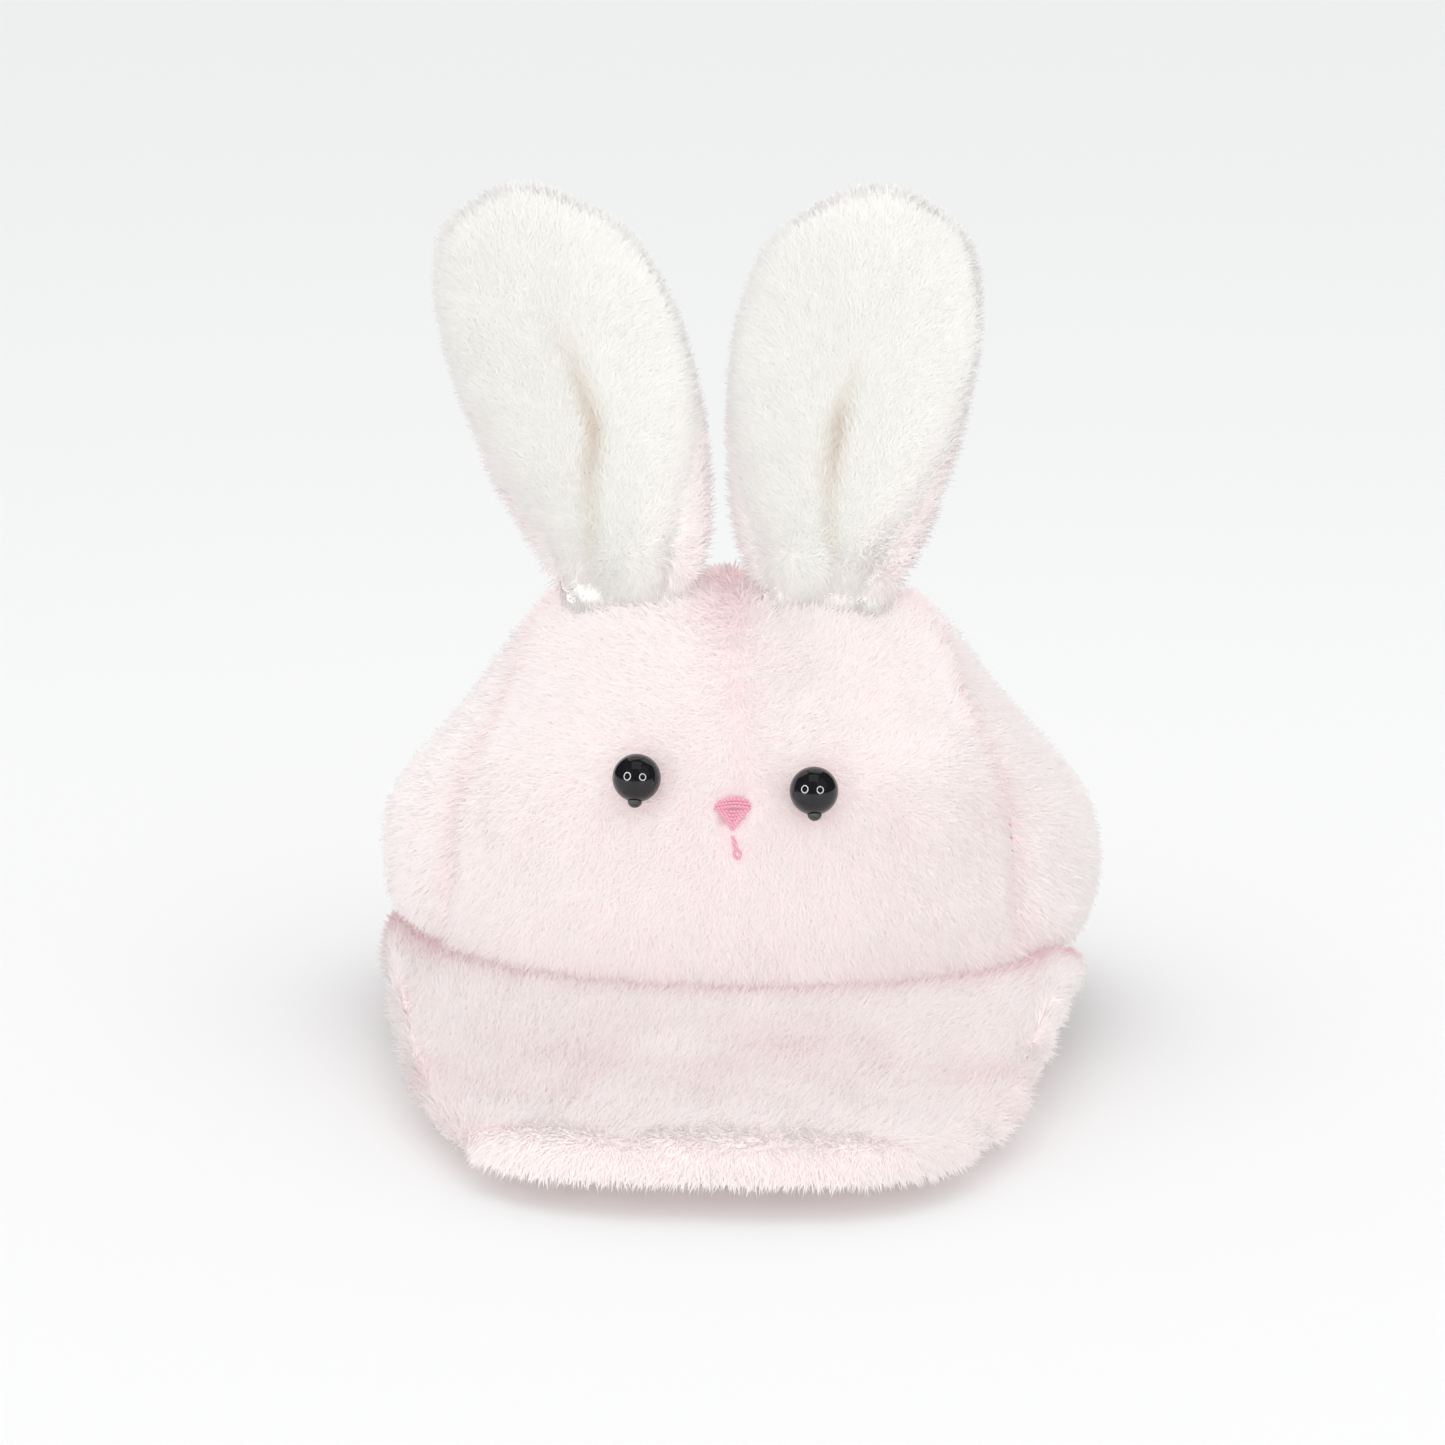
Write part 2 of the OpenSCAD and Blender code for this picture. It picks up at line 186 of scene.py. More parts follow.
class TrimSettings(bpy.types.PropertyGroup):
    """Colours of the beads, threads and lining."""

    bead: FloatVectorProperty(
        name="Beads",
        description="Colour of the eye beads",
        subtype="COLOR",
        size=3,
        min=0,
        max=1,
        default=(0.012, 0.012, 0.014),
    )
    thread: FloatVectorProperty(
        name="Sewing thread",
        description="Colour of the thread that holds the beads",
        subtype="COLOR",
        size=3,
        min=0,
        max=1,
        default=(0.02, 0.019, 0.018),
    )
    floss: FloatVectorProperty(
        name="Embroidery",
        description="Colour of the nose and mouth",
        subtype="COLOR",
        size=3,
        min=0,
        max=1,
        default=(0.93, 0.37, 0.49),
    )
    cotton: FloatVectorProperty(
        name="Lining",
        description="Colour of the cotton lining",
        subtype="COLOR",
        size=3,
        min=0,
        max=1,
        default=(0.86, 0.76, 0.74),
    )


class StageSettings(bpy.types.PropertyGroup):
    """The camera, floor and light."""

    camera_place: FloatVectorProperty(
        name="Camera",
        description="Place of the camera",
        subtype="TRANSLATION",
        size=3,
        default=(0.032, -0.584, 0.200),
    )
    camera_turn: FloatProperty(
        name="Turn",
        description="Turn of the camera to the left",
        subtype="ANGLE",
        default=math.radians(3.338),
    )
    camera_drop: FloatProperty(
        name="Drop",
        description="Angle of the camera below level",
        subtype="ANGLE",
        default=math.radians(13.654),
    )
    lens: FloatProperty(
        name="Lens",
        description="Focal length on a 36 mm wide sensor",
        default=88.19,
        min=20,
        max=300,
    )
    daylight: FloatProperty(
        name="Daylight",
        description="Strength of the even light from all round",
        default=1.08,
        min=0,
        max=4,
    )


# Small tools


def plush():
    return bpy.context.scene.cap_plush


def trim():
    return bpy.context.scene.cap_trim


def deselect():
    if bpy.context.mode != "OBJECT":
        bpy.ops.object.mode_set(mode="OBJECT")
    bpy.ops.object.select_all(action="DESELECT")


def pick(obj):
    deselect()
    obj.select_set(True)
    bpy.context.view_layer.objects.active = obj


def places(obj):
    co = np.empty(len(obj.data.vertices) * 3)
    obj.data.vertices.foreach_get("co", co)
    return co.reshape(-1, 3) / MM


def normals(obj):
    no = np.empty(len(obj.data.vertices) * 3)
    obj.data.vertices.foreach_get("normal", no)
    return no.reshape(-1, 3)


def put(obj, co):
    obj.data.vertices.foreach_set("co", (co * MM).ravel())
    obj.data.update()


def keep_value(obj, name, values):
    kind = "FLOAT_VECTOR" if values.ndim == 2 else "FLOAT"
    attribute = obj.data.attributes.get(name) or obj.data.attributes.new(name, kind, "POINT")
    attribute.data.foreach_set("vector" if values.ndim == 2 else "value",
                               values.astype(np.float32).ravel())


def node_box(name):
    """The low and high corners of a CAD node."""
    obj = frame["nodes"][name]
    corners = np.array([obj.matrix_world @ Vector(c) for c in obj.bound_box]) / MM
    return corners.min(0), corners.max(0)


def smooth(f):
    f = np.clip(f, 0, 1)
    return f * f * (3 - 2 * f)


def unit(v):
    return v / np.maximum(np.linalg.norm(v, axis=1, keepdims=True), 1e-9)


def distance_to_path(points, path):
    """Distance in two dimensions from each point to a path, and how far along the path."""
    best = np.full(len(points), 1e9)
    along = np.zeros(len(points))
    path = np.array(path, float)
    for i in range(len(path) - 1):
        a, b = path[i], path[i + 1]
        t = np.clip(((points - a) @ (b - a)) / ((b - a) @ (b - a)), 0, 1)
        d = np.linalg.norm(points - (a + t[:, None] * (b - a)), axis=1)
        nearer = d < best
        best[nearer] = d[nearer]
        along[nearer] = (i + t[nearer]) / (len(path) - 1)
    return best, along


def waves(co, scale, seed):
    """A smooth vector that wanders over the surface."""
    shift = Vector((seed * 3.7, seed * 1.3, seed * 7.1))
    return np.array([noise.noise_vector(Vector(p) / scale + shift) for p in co])


def cloth_from_node(node, name, outwards=None):
    """A clean, finely divided copy of a CAD sheet, as a piece of its own. outwards gives the
    rough way that its pile side faces."""
    source = frame["nodes"][node]
    deselect()
    source.hide_viewport = False
    pick(source)
    bpy.ops.object.duplicate()
    obj = bpy.context.view_layer.objects.active
    obj.name = obj.data.name = name
    if obj.parent is not None:
        bpy.ops.object.parent_clear(type="CLEAR_KEEP_TRANSFORM")
    for key in list(obj.keys()):
        del obj[key]
    bpy.ops.object.transform_apply(location=True, rotation=True, scale=True)
    bpy.ops.object.mode_set(mode="EDIT")
    bpy.ops.mesh.select_all(action="SELECT")
    bpy.ops.mesh.remove_doubles(threshold=1e-6)
    bpy.ops.mesh.tris_convert_to_quads(face_threshold=0.9, shape_threshold=0.9)
    bpy.ops.mesh.normals_make_consistent(inside=False)
    bpy.ops.object.mode_set(mode="OBJECT")
    if obj.data.has_custom_normals:
        bpy.ops.mesh.customdata_custom_splitnormals_clear()
    obj.data.materials.clear()
    if outwards:
        facing = (normals(obj) * outwards(places(obj))).sum(1)
        keep_value(obj, "pile_side", (facing > 0).astype(float))
    divide = obj.modifiers.new("Divide", "SUBSURF")
    divide.levels = divide.render_levels = 2
    bpy.ops.object.modifier_apply(modifier="Divide")
    bpy.ops.object.shade_smooth()
    return obj


def tree_of(co, indices):
    tree = kdtree.KDTree(len(indices))
    for i in indices:
        tree.insert(co[i], int(i))
    tree.balance()
    return tree


def layers(obj):
    """Each point's place, the way the pile faces there, how near it is to the pile side (1)
    or the backing (0), its distance from the cut edge of the cloth, and how thick that is."""
    co, no = places(obj), normals(obj)
    side = np.empty(len(co), np.float32)
    obj.data.attributes["pile_side"].data.foreach_get("value", side)
    edges = tree_of(co, np.flatnonzero((side > 0.2) & (side < 0.8)))
    edge = np.array([edges.find(p)[2] for p in co])
    skin = tree_of(co, np.flatnonzero((side > 0.97) & (edge > 1.2)))
    facing = np.array([np.mean([no[i] for _, i, _ in skin.find_n(p, 4)], axis=0) for p in co])
    backing = tree_of(co, np.flatnonzero(side < 0.03))
    thick = np.array([backing.find(p)[2] for p in co])
    obj.data.attributes.remove(obj.data.attributes["pile_side"])
    return co, unit(facing), side, edge, thick


# Materials


def nodes_of(material):
    material.use_nodes = True
    tree = material.node_tree
    tree.nodes.clear()
    return tree


def add(tree, kind, place=(0, 0), **values):
    node = tree.nodes.new(kind)
    node.location = place
    for key, value in values.items():
        setattr(node, key, value)
    return node


def pile_group():
    """Colour of a pile fabric: its roots, tips, the painted shade of its creases, seams and
    pleats, and the tufts' own differences.
    """
    tree = bpy.data.node_groups.get("Pile colour")
    if tree:
        return tree
    tree = bpy.data.node_groups.new("Pile colour", "ShaderNodeTree")
    face = tree.interface
    for name, value in (("Root", (0.9, 0.7, 0.7, 1)), ("Tip", (1, 0.9, 0.9, 1)),
                        ("Crease", (0.7, 0.5, 0.5, 1)), ("Beside", (1, 1, 1, 1))):
        socket = face.new_socket(name=name, in_out="INPUT", socket_type="NodeSocketColor")
        socket.default_value = value
    socket = face.new_socket(name="Patchiness", in_out="INPUT", socket_type="NodeSocketFloat")
    socket.default_value = 0.3
    face.new_socket(name="Colour", in_out="OUTPUT", socket_type="NodeSocketColor")
    face.new_socket(name="Roughness", in_out="OUTPUT", socket_type="NodeSocketFloat")
    start = add(tree, "NodeGroupInput", (-900, 0))
    end = add(tree, "NodeGroupOutput", (900, 0))
    link = tree.links.new
    pile = add(tree, "ShaderNodeAttribute", (-900, 300), attribute_name="pile")
    tuft = add(tree, "ShaderNodeAttribute", (-900, 150), attribute_name="tuft_shade")
    painted_shade = add(tree, "ShaderNodeAttribute", (-900, -300), attribute_name="painted_shade")
    where = add(tree, "ShaderNodeTexCoord", (-900, -500))
    cloud = add(tree, "ShaderNodeTexNoise", (-700, -500))
    cloud.inputs["Scale"].default_value = 120
    cloud.inputs["Detail"].default_value = 3
    link(where.outputs["Object"], cloud.inputs["Vector"])
    lift = add(tree, "ShaderNodeMapRange", (-600, 300))
    lift.inputs["From Min"].default_value = 0.0
    lift.inputs["From Max"].default_value = 0.75
    link(pile.outputs["Fac"], lift.inputs["Value"])
    vary = add(tree, "ShaderNodeMath", (-600, 100), operation="MULTIPLY_ADD")
    link(tuft.outputs["Fac"], vary.inputs[0])
    vary.inputs[1].default_value = 0.25
    link(lift.outputs["Result"], vary.inputs[2])
    patch = add(tree, "ShaderNodeMath", (-400, -100), operation="MULTIPLY")
    link(cloud.outputs["Fac"], patch.inputs[0])
    link(start.outputs["Patchiness"], patch.inputs[1])
    both = add(tree, "ShaderNodeMath", (-200, 100), operation="SUBTRACT", use_clamp=True)
    link(vary.outputs[0], both.inputs[0])
    link(patch.outputs[0], both.inputs[1])
    mixed = add(tree, "ShaderNodeMix", (0, 100), data_type="RGBA")
    link(both.outputs[0], mixed.inputs["Factor"])
    link(start.outputs["Root"], mixed.inputs["A"])
    link(start.outputs["Tip"], mixed.inputs["B"])
    # Painted shade: the colour deepens towards the shade colour where painted_shade is set
    deep = add(tree, "ShaderNodeMix", (250, 0), data_type="RGBA")
    link(painted_shade.outputs["Fac"], deep.inputs["Factor"])
    link(mixed.outputs["Result"], deep.inputs["A"])
    link(start.outputs["Crease"], deep.inputs["B"])
    beside = add(tree, "ShaderNodeAttribute", (250, -500), attribute_name="mingle")
    strand = add(tree, "ShaderNodeMath", (400, -400), operation="MULTIPLY_ADD", use_clamp=True)
    link(tuft.outputs["Fac"], strand.inputs[0])
    strand.inputs[1].default_value = 0.5
    strand.inputs[2].default_value = 0.75
    share = add(tree, "ShaderNodeMath", (550, -400), operation="MULTIPLY", use_clamp=True)
    link(beside.outputs["Fac"], share.inputs[0])
    link(strand.outputs[0], share.inputs[1])
    mingled = add(tree, "ShaderNodeMix", (700, 0), data_type="RGBA")
    link(share.outputs[0], mingled.inputs["Factor"])
    link(deep.outputs["Result"], mingled.inputs["A"])
    link(start.outputs["Beside"], mingled.inputs["B"])
    link(mingled.outputs["Result"], end.inputs["Colour"])
    rough = add(tree, "ShaderNodeMapRange", (250, -300))
    rough.inputs["To Min"].default_value = 0.95
    rough.inputs["To Max"].default_value = 0.75
    link(lift.outputs["Result"], rough.inputs["Value"])
    link(rough.outputs["Result"], end.inputs["Roughness"])
    return tree


def plush_material(name, root, tip, painted_shade, beside, glow):
    material = bpy.data.materials.get(name)
    if material:
        return material
    material = bpy.data.materials.new(name)
    tree = nodes_of(material)
    out = add(tree, "ShaderNodeOutputMaterial", (400, 0))
    shader = add(tree, "ShaderNodeBsdfPrincipled", (100, 0))
    group = add(tree, "ShaderNodeGroup", (-200, 0), node_tree=pile_group())
    group.inputs["Root"].default_value = (*root, 1)
    group.inputs["Tip"].default_value = (*tip, 1)
    group.inputs["Crease"].default_value = (*painted_shade, 1)
    group.inputs["Beside"].default_value = (*beside, 1)
    shader.inputs["Specular IOR Level"].default_value = 0.2
    # Painted light: the pile glows in its own colour, standing in for light passed on from fibre
    # to fibre
    shader.inputs["Emission Strength"].default_value = glow
    tree.links.new(group.outputs["Colour"], shader.inputs["Emission Color"])
    tree.links.new(group.outputs["Colour"], shader.inputs["Base Color"])
    tree.links.new(group.outputs["Roughness"], shader.inputs["Roughness"])
    tree.links.new(shader.outputs[0], out.inputs[0])
    return material


# The third colour of each plush is its painted shade, for creases, seams, pleats and the rings
# round the beads
def pink_plush():
    return plush_material("Pink plush", plush().pink_root, plush().pink_tip, (0.74, 0.44, 0.47),
                          plush().white_tip, plush().pink_glow)


def white_plush():
    return plush_material("White plush", plush().white_root, plush().white_tip,
                          (0.74, 0.63, 0.52), plush().pink_tip, plush().white_glow)


def bead_material():
    material = bpy.data.materials.new("Black bead")
    tree = nodes_of(material)
    out = add(tree, "ShaderNodeOutputMaterial", (400, 0))
    shader = add(tree, "ShaderNodeBsdfPrincipled", (100, 0))
    where = add(tree, "ShaderNodeTexCoord", (-700, 0))
    dust = add(tree, "ShaderNodeTexNoise", (-500, 0))
    dust.inputs["Scale"].default_value = 900
    spread = add(tree, "ShaderNodeMapRange", (-250, 0))
    spread.inputs["To Min"].default_value = 0.03
    spread.inputs["To Max"].default_value = 0.09
    shader.inputs["Base Color"].default_value = (*trim().bead, 1)
    shader.inputs["Specular IOR Level"].default_value = 0.35
    shader.inputs["Coat Weight"].default_value = 0.2
    shader.inputs["Coat Roughness"].default_value = 0.03
    tree.links.new(where.outputs["Object"], dust.inputs["Vector"])
    tree.links.new(dust.outputs["Fac"], spread.inputs["Value"])
    tree.links.new(spread.outputs["Result"], shader.inputs["Roughness"])
    tree.links.new(shader.outputs[0], out.inputs[0])
    return material


def yarn_material(name, colour, scale, depth):
    """Twisted thread: fine slanting strands in its relief, with painted shade in the grooves
    between them and painted light on their crowns.
    """
    material = bpy.data.materials.new(name)
    tree = nodes_of(material)
    out = add(tree, "ShaderNodeOutputMaterial", (500, 0))
    shader = add(tree, "ShaderNodeBsdfPrincipled", (200, 0))
    where = add(tree, "ShaderNodeTexCoord", (-900, 0))
    turn = add(tree, "ShaderNodeMapping", (-700, 0))
    turn.inputs["Rotation"].default_value = (0.3, 0.7, 0.9)
    strands = add(tree, "ShaderNodeTexWave", (-500, 0))
    strands.inputs["Scale"].default_value = scale
    strands.inputs["Distortion"].default_value = 1.5
    strands.inputs["Detail"].default_value = 1
    # Painted shade in the grooves and painted light on the strands, following the relief
    shade = add(tree, "ShaderNodeMix", (-100, 200), data_type="RGBA")
    shade.inputs["A"].default_value = (*[c * 0.72 for c in colour], 1)
    shade.inputs["B"].default_value = (*[min(1, c * 1.12) for c in colour], 1)
    bump = add(tree, "ShaderNodeBump", (0, -200))
    bump.inputs["Strength"].default_value = 0.6
    bump.inputs["Distance"].default_value = depth
    link = tree.links.new
    link(where.outputs["Object"], turn.inputs["Vector"])
    link(turn.outputs["Vector"], strands.inputs["Vector"])
    link(strands.outputs["Fac"], shade.inputs["Factor"])
    link(shade.outputs["Result"], shader.inputs["Base Color"])
    link(strands.outputs["Fac"], bump.inputs["Height"])
    link(bump.outputs["Normal"], shader.inputs["Normal"])
    shader.inputs["Roughness"].default_value = 0.6
    shader.inputs["Sheen Weight"].default_value = 0.2
    link(shader.outputs[0], out.inputs[0])
    return material


def cotton_material(name, colour):
    """Plain woven cotton: two crossing sets of yarns, with painted shade between them."""
    material = bpy.data.materials.new(name)
    tree = nodes_of(material)
    link = tree.links.new
    out = add(tree, "ShaderNodeOutputMaterial", (700, 0))
    shader = add(tree, "ShaderNodeBsdfPrincipled", (400, 0))
    where = add(tree, "ShaderNodeTexCoord", (-900, 0))
    sets = []
    for k, turn in enumerate(((0, 0, 0.6), (0, 1.2, 0.6))):
        place = add(tree, "ShaderNodeMapping", (-700, -300 * k))
        place.inputs["Rotation"].default_value = turn
        yarns = add(tree, "ShaderNodeTexWave", (-500, -300 * k))
        yarns.inputs["Scale"].default_value = 620
        yarns.inputs["Distortion"].default_value = 0.8
        link(where.outputs["Object"], place.inputs["Vector"])
        link(place.outputs["Vector"], yarns.inputs["Vector"])
        sets.append(yarns)
    weave = add(tree, "ShaderNodeMath", (-200, 0), operation="MAXIMUM")
    link(sets[0].outputs["Fac"], weave.inputs[0])
    link(sets[1].outputs["Fac"], weave.inputs[1])
    # Painted shade between the yarns, following the relief
    shade = add(tree, "ShaderNodeMix", (0, 200), data_type="RGBA")
    shade.inputs["A"].default_value = (*[c * 0.78 for c in colour], 1)
    shade.inputs["B"].default_value = (*colour, 1)
    link(weave.outputs[0], shade.inputs["Factor"])
    link(shade.outputs["Result"], shader.inputs["Base Color"])
    bump = add(tree, "ShaderNodeBump", (150, -200))
    bump.inputs["Strength"].default_value = 0.5
    bump.inputs["Distance"].default_value = 0.0001
    link(weave.outputs[0], bump.inputs["Height"])
    link(bump.outputs["Normal"], shader.inputs["Normal"])
    shader.inputs["Roughness"].default_value = 0.9
    link(shader.outputs[0], out.inputs[0])
    return material


# Pile


def tuft_object():
    """One tuft: a three-sided wisp that tapers to a point, one unit long."""
    tuft = bpy.data.objects.get("Tuft")
    if tuft:
        return tuft
    deselect()
    bpy.ops.mesh.primitive_cone_add(vertices=3, radius1=0.5, radius2=0, depth=1,
                                    end_fill_type="NOTHING", location=(0, 0, 0.5))
    tuft = bpy.context.view_layer.objects.active
    tuft.name = tuft.data.name = "Tuft"
    bpy.ops.object.transform_apply(location=True, rotation=True, scale=True)
    z = np.array([v.co.z for v in tuft.data.vertices])
    keep_value(tuft, "pile", z)
    bpy.ops.object.shade_smooth()
    tuft.hide_render = True
    tuft.hide_viewport = True
    return tuft


def pile_tree():
    """Geometry nodes that plant tufts over a piece, along its nap."""
    tree = bpy.data.node_groups.get("Pile")
    if tree:
        return tree
    tree = bpy.data.node_groups.new("Pile", "GeometryNodeTree")
    face = tree.interface
    face.new_socket(name="Geometry", in_out="INPUT", socket_type="NodeSocketGeometry")
    for name, kind in (("Density", "Float"), ("Length", "Float"), ("Width", "Float"),
                       ("Lean", "Float"), ("Scatter", "Float"), ("Seed", "Int"),
                       ("Cloth", "Material")):
        face.new_socket(name=name, in_out="INPUT", socket_type="NodeSocket" + kind)
    face.new_socket(name="Geometry", in_out="OUTPUT", socket_type="NodeSocketGeometry")
    link = tree.links.new
    start = add(tree, "NodeGroupInput", (-1400, 0))
    end = add(tree, "NodeGroupOutput", (1400, 0))

    def named(name, kind, place):
        node = add(tree, "GeometryNodeInputNamedAttribute", place, data_type=kind)
        node.inputs["Name"].default_value = name
        return node.outputs["Attribute"]

    def maths(operation, a, b, place):
        node = add(tree, "ShaderNodeMath", place, operation=operation)
        for k, value in enumerate((a, b)):
            if isinstance(value, (int, float)):
                node.inputs[k].default_value = value
            else:
                link(value, node.inputs[k])
        return node.outputs[0]

    def vectors(operation, a, b, place):
        node = add(tree, "ShaderNodeVectorMath", place, operation=operation)
        link(a, node.inputs[0])
        if operation == "SCALE":
            link(b, node.inputs["Scale"])
        elif b is not None:
            link(b, node.inputs[1])
        return node.outputs[0]

    def chance(kind, low, high, shift, place):
        node = add(tree, "FunctionNodeRandomValue", place, data_type=kind)
        slots = [s for s in node.inputs if s.enabled]
        slots[0].default_value = low
        slots[1].default_value = high
        seed = add(tree, "ShaderNodeMath", (place[0] - 200, place[1]), operation="ADD")
        link(start.outputs["Seed"], seed.inputs[0])
        seed.inputs[1].default_value = shift
        link(seed.outputs[0], node.inputs["Seed"])
        return next(s for s in node.outputs if s.enabled)

    points = add(tree, "GeometryNodeDistributePointsOnFaces", (-800, 200),
                 distribute_method="RANDOM")
    link(start.outputs["Geometry"], points.inputs["Mesh"])
    cover = named("pile_cover", "FLOAT", (-1200, 300))
    link(maths("MULTIPLY", start.outputs["Density"], cover, (-1000, 300)),
         points.inputs["Density"])
    link(start.outputs["Seed"], points.inputs["Seed"])
    nap = named("nap", "FLOAT_VECTOR", (-800, -200))
    lean = vectors("SCALE", nap, start.outputs["Lean"], (-600, -200))
    jitter = vectors("SCALE", chance("FLOAT_VECTOR", (-1, -1, -1), (1, 1, 1), 11, (-800, -400)),
                     start.outputs["Scatter"], (-600, -400))
    skin = named("skin_normal", "FLOAT_VECTOR", (-600, 0))
    heading = vectors("ADD", skin, lean, (-400, -200))
    heading = vectors("ADD", heading, jitter, (-200, -200))
    heading = vectors("NORMALIZE", heading, None, (0, -200))
    bend = vectors("ADD", nap, jitter, (-200, -400))
    turn = add(tree, "FunctionNodeAxesToRotation", (200, -200), primary_axis="Z",
               secondary_axis="X")
    link(heading, turn.inputs[0])
    link(bend, turn.inputs[1])
    tall = maths("MULTIPLY", start.outputs["Length"], named("pile_length", "FLOAT", (-600, -600)),
                 (-400, -600))
    tall = maths("MULTIPLY", tall, chance("FLOAT", 0.7, 1.15, 23, (-400, -750)), (-200, -600))
    wide = maths("MULTIPLY", start.outputs["Width"], chance("FLOAT", 0.75, 1.25, 37, (-400, -900)),
                 (-200, -850))
    size = add(tree, "ShaderNodeCombineXYZ", (0, -600))
    link(wide, size.inputs[0])
    link(wide, size.inputs[1])
    link(tall, size.inputs[2])
    source = add(tree, "GeometryNodeObjectInfo", (0, 0))
    source.inputs["Object"].default_value = tuft_object()
    plant = add(tree, "GeometryNodeInstanceOnPoints", (500, 200))
    link(points.outputs["Points"], plant.inputs["Points"])
    link(source.outputs["Geometry"], plant.inputs["Instance"])
    link(turn.outputs[0], plant.inputs["Rotation"])
    link(size.outputs[0], plant.inputs["Scale"])
    lie = add(tree, "GeometryNodeStoreNamedAttribute", (600, 400), data_type="FLOAT_VECTOR",
              domain="INSTANCE")
    lie.inputs["Name"].default_value = "skin_normal"
    link(plant.outputs["Instances"], lie.inputs["Geometry"])
    link(skin, lie.inputs["Value"])
    own = add(tree, "GeometryNodeStoreNamedAttribute", (700, 200), data_type="FLOAT",
              domain="INSTANCE")
    own.inputs["Name"].default_value = "tuft_shade"
    link(lie.outputs["Geometry"], own.inputs["Geometry"])
    link(chance("FLOAT", 0.0, 1.0, 51, (500, -200)), own.inputs["Value"])
    real = add(tree, "GeometryNodeRealizeInstances", (900, 200))
    link(own.outputs["Geometry"], real.inputs["Geometry"])
    cloth = add(tree, "GeometryNodeSetMaterial", (1050, 200))
    link(real.outputs["Geometry"], cloth.inputs["Geometry"])
    link(start.outputs["Cloth"], cloth.inputs["Material"])
    joined = add(tree, "GeometryNodeJoinGeometry", (1200, 0))
    link(start.outputs["Geometry"], joined.inputs["Geometry"])
    link(cloth.outputs["Geometry"], joined.inputs["Geometry"])
    link(joined.outputs["Geometry"], end.inputs["Geometry"])
    return tree


def plant_pile(obj, material, density, length=1.0, lean=1.0, scatter=0.75, width=1.0, seed=0):
    """Plants the pile on a piece and makes it part of the mesh. Each tuft is shaded mostly as
    the cloth under it, which gives the pile its soft look."""
    obj.data.materials.clear()
    obj.data.materials.append(material)
    tree = pile_tree()
    pile = obj.modifiers.new("Pile", "NODES")
    pile.node_group = tree
    keys = {i.name: i.identifier for i in tree.interface.items_tree
            if i.item_type == "SOCKET" and i.in_out == "INPUT"}
    pile[keys["Density"]] = density * 1e6
    pile[keys["Length"]] = plush().pile_length * length
    pile[keys["Width"]] = plush().tuft_width * width
    pile[keys["Lean"]] = lean
    pile[keys["Scatter"]] = scatter
    pile[keys["Seed"]] = plush().seed + seed
    pile[keys["Cloth"]] = material
    pick(obj)
    bpy.ops.object.modifier_apply(modifier="Pile")
    skin = np.empty(len(obj.data.vertices) * 3, np.float32)
    obj.data.attributes["skin_normal"].data.foreach_get("vector", skin)
    shaded = unit(unit(skin.reshape(-1, 3)) * SOFTNESS + normals(obj) * (1 - SOFTNESS))
    obj.data.normals_split_custom_set_from_vertices(shaded.tolist())
    for name in ("nap", "pile_cover", "pile_length", "skin_normal"):
        if name in obj.data.attributes:
            obj.data.attributes.remove(obj.data.attributes[name])


# Crown


def face_nap(co):
    """Which way the pile of the face lies: across the forehead, fanning up on the right
    and hanging on the lower face."""
    x, z = co[:, 0], co[:, 2]
    forehead = smooth((z - 44) / 16)
    side = np.tanh((x - 1) / 6)
    turn = np.where(side > 0, 130 * side, 88 * side) * forehead + 9 * np.sin(x * 0.35 + z * 0.2)
    turn = np.radians(turn)
    return np.stack([np.sin(turn), 0 * x, -np.cos(turn)], 1)


def keep_pile(obj, facing, side, nap, cover, length, painted_shade, mingle=0.0):
    """Keeps what the pile and its colours are made from at each point of a shaped cloth. The
    pile stands as the cloth faces and turns over its cut edges."""
    share = smooth((side - 0.2) / 0.5)[:, None]
    keep_value(obj, "skin_normal", unit(facing * share + normals(obj) * (1 - share)))
    keep_value(obj, "nap", nap)
    keep_value(obj, "pile_cover", cover)
    keep_value(obj, "pile_length", length)
    keep_value(obj, "mingle", mingle + 0 * side)
    keep_value(obj, "painted_shade", np.clip(painted_shade, 0, 1))
    keep_value(obj, "pile", 0 * side)


def lay_nap(co, facing, nap, unrest, seed):
    """The nap laid along the cloth, with whorls of its own. Where it runs into the cloth it
    stays short, so that the pile stands up there."""
    nap = nap + waves(co, 7.0, seed) * unrest
    nap = nap - facing * (nap * facing).sum(1)[:, None]
    return nap / np.maximum(np.linalg.norm(nap, axis=1), 0.35)[:, None]


def crown_outwards(co):
    """The rough way that the crown's cloth faces."""
    return unit(co - np.array(CROWN_MIDDLE))


